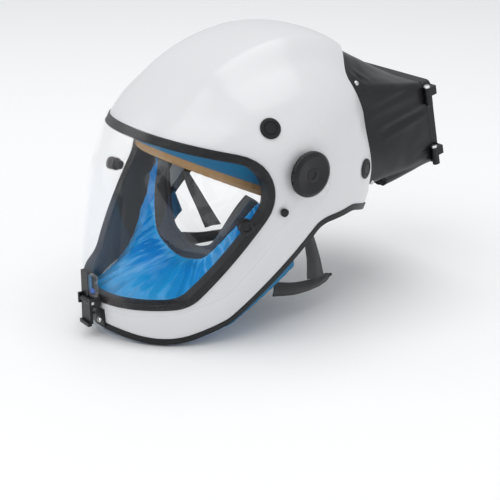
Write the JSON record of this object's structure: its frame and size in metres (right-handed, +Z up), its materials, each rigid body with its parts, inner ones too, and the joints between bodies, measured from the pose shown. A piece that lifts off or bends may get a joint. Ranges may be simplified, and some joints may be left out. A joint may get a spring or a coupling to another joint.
{
  "type": "powered air respirator",
  "caption": "Full-face powered air respirator: helmet shell with a hinged clear visor, blue face seal and a filter and blower unit at the back.",
  "frame": {"origin": "midpoint of the visor's hinge axis, inside the helmet", "axes": "the wearer looks along -Y, the wearer's left is +X, +Z up; helmet worn level"},
  "size_m": [0.258, 0.3774, 0.2719],
  "materials": {
    "shell": "glossy moulded white",
    "clear_visor": "clear polycarbonate",
    "clear_lens": "clear with a blue spot",
    "black_rubber": "satin black",
    "black_plastic": "satin black moulded",
    "blue_cloth": "glossy coated cloth",
    "black_webbing": "woven webbing",
    "tan_leather": "perforated tan",
    "cover_leather": "black leather-like sheet",
    "steel": "bright",
    "grey_plastic": "moulded grey",
    "filter_paper": "pleated filter paper",
    "circuit_board": "coated board"
  },
  "bodies": {
    "helmet": {"air_duct": "black_plastic", "battery_pack": "black_plastic", "blower_housing": "black_plastic", "bottom_trim": "black_rubber", "button_switch": "black_plastic", "charging_socket": "black_plastic", "control_board": "circuit_board", "crown_strap_front": "black_webbing", "crown_strap_side": "black_webbing", "eyeport_gasket": "black_rubber", "face_band": "black_webbing", "face_seal": "blue_cloth", "filter_case": "black_plastic", "filter_frame": "black_plastic", "filter_gasket": "black_rubber", "filter_media": "filter_paper", "friction_washer_left": "black_plastic", "friction_washer_right": "black_plastic", "harness_hanger_front_left": "black_plastic", "harness_hanger_front_right": "black_plastic", "harness_hanger_rear_left": "black_plastic", "harness_hanger_rear_right": "black_plastic", "harness_plug_front_left": "black_rubber", "harness_plug_front_right": "black_rubber", "harness_plug_rear_left": "black_rubber", "harness_plug_rear_right": "black_rubber", "headband": "black_plastic", "hinge_pin_lower": "steel", "hinge_pin_upper": "steel", "keeper_rivet_left": "steel", "keeper_rivet_right": "steel", "latch_keeper": "black_plastic", "motor": "steel", "neck_cloth": "blue_cloth", "neck_strap_drop_left": "black_webbing", "neck_strap_drop_right": "black_webbing", "neck_strap_run_left": "black_webbing", "neck_strap_run_right": "black_webbing", "pivot_bolt_left": "steel", "pivot_bolt_right": "steel", "ratchet_housing": "black_plastic", "shell": "shell", "sweatband": "tan_leather", "unit_cover": "cover_leather"},
    "visor": {"visor": "clear_visor", "film_post_left": "black_plastic", "film_post_right": "black_plastic", "visor_plug_left": "black_rubber", "visor_plug_right": "black_rubber", "latch_body": "black_plastic", "signal_lens": "clear_lens", "latch_pin": "steel"},
    "latch_lever": {"latch_lever": "black_plastic"},
    "knob_left": {"pivot_knob_left": "black_plastic"},
    "knob_right": {"pivot_knob_right": "black_plastic"},
    "filter_door": {"filter_door": "black_plastic"},
    "impeller": {"impeller": "grey_plastic"},
    "power_button": {"power_button": "black_rubber"},
    "ratchet_knob": {"ratchet_knob": "black_plastic"},
    "socket_cap": {"socket_cap": "black_rubber"}
  },
  "joints": [
    {"name": "visor_lift", "type": "hinge", "parent": "helmet", "child": "visor", "pos_m": [0, 0, 0], "axis": [-1, 0, 0], "range_deg": [0, 60]},
    {"name": "latch_open", "type": "hinge", "parent": "visor", "child": "latch_lever", "pos_m": [0, -0.163, -0.126], "axis": [-1, 0, 0], "range_deg": [0, 40]},
    {"name": "knob_left_turn", "type": "hinge", "parent": "helmet", "child": "knob_left", "pos_m": [0.1255, 0, 0], "axis": [1, 0, 0], "range_deg": [0, 90]},
    {"name": "knob_right_turn", "type": "hinge", "parent": "helmet", "child": "knob_right", "pos_m": [-0.1255, 0, 0], "axis": [-1, 0, 0], "range_deg": [0, 90]},
    {"name": "filter_door_open", "type": "hinge", "parent": "helmet", "child": "filter_door", "pos_m": [0.0795, 0.19114, 0.00584], "axis": [0, 0.2317, -0.9728], "range_deg": [0, 100]},
    {"name": "impeller_spin", "type": "hinge", "parent": "helmet", "child": "impeller", "pos_m": [0, 0.13508, 0.0038], "axis": [0, 0.9728, 0.2317], "continuous": true},
    {"name": "power_press", "type": "slide", "parent": "helmet", "child": "power_button", "axis": [0, -0.2636, 0.9646], "range_m": [0, 0.0015], "stiffness_N_per_m": 300},
    {"name": "ratchet_turn", "type": "hinge", "parent": "helmet", "child": "ratchet_knob", "pos_m": [0, 0.095, -0.0607], "axis": [0, 1, 0], "continuous": true},
    {"name": "cap_pull", "type": "slide", "parent": "helmet", "child": "socket_cap", "axis": [0, 0.2636, -0.9646], "range_m": [0, 0.012]}
  ]
}
